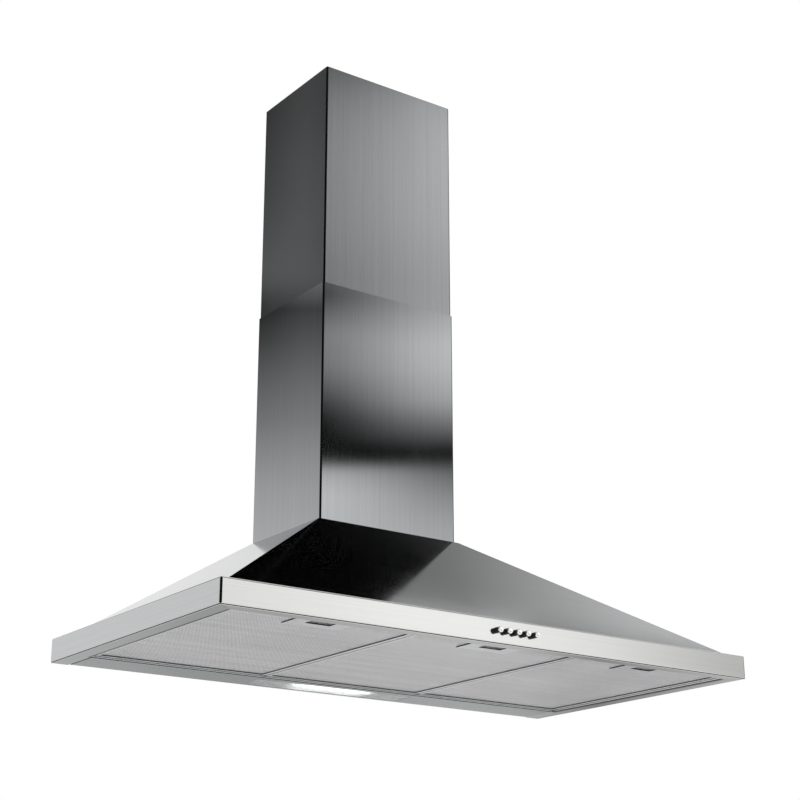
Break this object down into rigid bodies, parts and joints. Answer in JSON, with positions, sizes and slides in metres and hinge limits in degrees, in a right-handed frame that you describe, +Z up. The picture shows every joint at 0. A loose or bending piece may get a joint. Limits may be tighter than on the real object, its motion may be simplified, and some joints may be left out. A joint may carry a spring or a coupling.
{
  "type": "chimney range hood",
  "caption": "Wall-mounted chimney range hood: folded steel pyramid canopy with swing-down grease filters, push buttons, a lamp, a blower and telescoping duct covers.",
  "frame": {"origin": "under the middle of the hood's overall box, buttons included, level with the underside of the rim", "axes": "+Z up, +Y towards the wall, +X to the right for someone facing the hood"},
  "size_m": [0.9, 0.4906, 0.98],
  "materials": {
    "canopy_steel": "satin, brushed",
    "cover_steel": "satin, brushed upright",
    "panel_steel": "bright, fine brushed",
    "underside_steel": "satin, brushed",
    "hidden_steel": "plain zinc-coated sheet",
    "filter_aluminium": "satin frame",
    "filter_mesh": "expanded mesh",
    "button_chrome": "polished",
    "black_plastic": "moulded, matt",
    "grey_plastic": "moulded, matt",
    "white_plastic": "moulded, matt",
    "lamp_lens": "clear, satin",
    "led_board": "white board with lamps",
    "motor_metal": "coated steel",
    "zinc_screws": "zinc plated"
  },
  "bodies": {
    "hood": {"canopy_shell": "canopy_steel", "front_panel": "panel_steel", "rear_plate": "underside_steel", "back_panel": "hidden_steel", "lamp_lens": "lamp_lens", "lamp_housing": "white_plastic", "led_strip": "led_board", "lower_cover": "cover_steel", "switch_block": "black_plastic", "control_box": "grey_plastic", "control_box_lid": "grey_plastic", "capacitor": "white_plastic", "capacitor_clip": "hidden_steel", "cable_gland": "black_plastic", "outlet_neck": "grey_plastic", "blower_housing_left": "grey_plastic", "blower_housing_right": "grey_plastic", "motor_body": "motor_metal", "motor_spider": "hidden_steel", "duct_collar": "black_plastic", "flap_pin": "zinc_screws", "duct_screw_1": "zinc_screws", "duct_screw_2": "zinc_screws", "duct_screw_3": "zinc_screws", "duct_screw_4": "zinc_screws", "foot_screw_1": "zinc_screws", "foot_screw_2": "zinc_screws", "foot_screw_3": "zinc_screws", "foot_screw_4": "zinc_screws"},
    "upper_chimney": {"upper_cover": "cover_steel", "upper_bracket": "hidden_steel", "bracket_screw_1": "zinc_screws", "bracket_screw_2": "zinc_screws"},
    "fan_wheel": {"impeller": "black_plastic", "motor_shaft": "zinc_screws"},
    "damper_rear": {"flap_rear": "black_plastic"},
    "damper_front": {"flap_front": "black_plastic"},
    "push_button_1": {"button_1": "button_chrome"},
    "push_button_2": {"button_2": "button_chrome"},
    "push_button_3": {"button_3": "button_chrome"},
    "push_button_4": {"button_4": "button_chrome"},
    "push_button_5": {"button_5": "button_chrome"},
    "filter_1": {"filter_frame_1": "filter_aluminium", "filter_mesh_1": "filter_mesh", "filter_catch_1": "filter_aluminium"},
    "latch_1": {"filter_latch_1": "filter_aluminium"},
    "filter_2": {"filter_frame_2": "filter_aluminium", "filter_mesh_2": "filter_mesh", "filter_catch_2": "filter_aluminium"},
    "latch_2": {"filter_latch_2": "filter_aluminium"},
    "filter_3": {"filter_frame_3": "filter_aluminium", "filter_mesh_3": "filter_mesh", "filter_catch_3": "filter_aluminium"},
    "latch_3": {"filter_latch_3": "filter_aluminium"}
  },
  "joints": [
    {"name": "chimney_slide", "type": "slide", "parent": "hood", "child": "upper_chimney", "axis": [0, 0, 1], "range_m": [-0.3, 0]},
    {"name": "fan_spin", "type": "hinge", "parent": "hood", "child": "fan_wheel", "pos_m": [0, 0.14925, 0.106], "axis": [1, 0, 0], "continuous": true},
    {"name": "damper_rear_hinge", "type": "hinge", "parent": "hood", "child": "damper_rear", "pos_m": [0, 0.13925, 0.234], "axis": [1, 0, 0], "range_deg": [0, 70]},
    {"name": "damper_front_hinge", "type": "hinge", "parent": "hood", "child": "damper_front", "pos_m": [0, 0.13925, 0.234], "axis": [-1, 0, 0], "range_deg": [0, 70]},
    {"name": "button_1_press", "type": "slide", "parent": "hood", "child": "push_button_1", "axis": [0, 1, 0], "range_m": [0, 0.003], "stiffness_N_per_m": 300},
    {"name": "button_2_press", "type": "slide", "parent": "hood", "child": "push_button_2", "axis": [0, 1, 0], "range_m": [0, 0.003], "stiffness_N_per_m": 300},
    {"name": "button_3_press", "type": "slide", "parent": "hood", "child": "push_button_3", "axis": [0, 1, 0], "range_m": [0, 0.003], "stiffness_N_per_m": 300},
    {"name": "button_4_press", "type": "slide", "parent": "hood", "child": "push_button_4", "axis": [0, 1, 0], "range_m": [0, 0.003], "stiffness_N_per_m": 300},
    {"name": "button_5_press", "type": "slide", "parent": "hood", "child": "push_button_5", "axis": [0, 1, 0], "range_m": [0, 0.003], "stiffness_N_per_m": 300},
    {"name": "filter_1_swing", "type": "hinge", "parent": "hood", "child": "filter_1", "pos_m": [-0.28017, 0.17375, 0.003], "axis": [1, 0, 0], "range_deg": [0, 70]},
    {"name": "filter_2_swing", "type": "hinge", "parent": "hood", "child": "filter_2", "pos_m": [0, 0.17375, 0.003], "axis": [1, 0, 0], "range_deg": [0, 70]},
    {"name": "filter_3_swing", "type": "hinge", "parent": "hood", "child": "filter_3", "pos_m": [0.28017, 0.17375, 0.003], "axis": [1, 0, 0], "range_deg": [0, 70]},
    {"name": "latch_1_slide", "type": "slide", "parent": "filter_1", "child": "latch_1", "axis": [0, 1, 0], "range_m": [0, 0.005], "stiffness_N_per_m": 200},
    {"name": "latch_2_slide", "type": "slide", "parent": "filter_2", "child": "latch_2", "axis": [0, 1, 0], "range_m": [0, 0.005], "stiffness_N_per_m": 200},
    {"name": "latch_3_slide", "type": "slide", "parent": "filter_3", "child": "latch_3", "axis": [0, 1, 0], "range_m": [0, 0.005], "stiffness_N_per_m": 200}
  ]
}
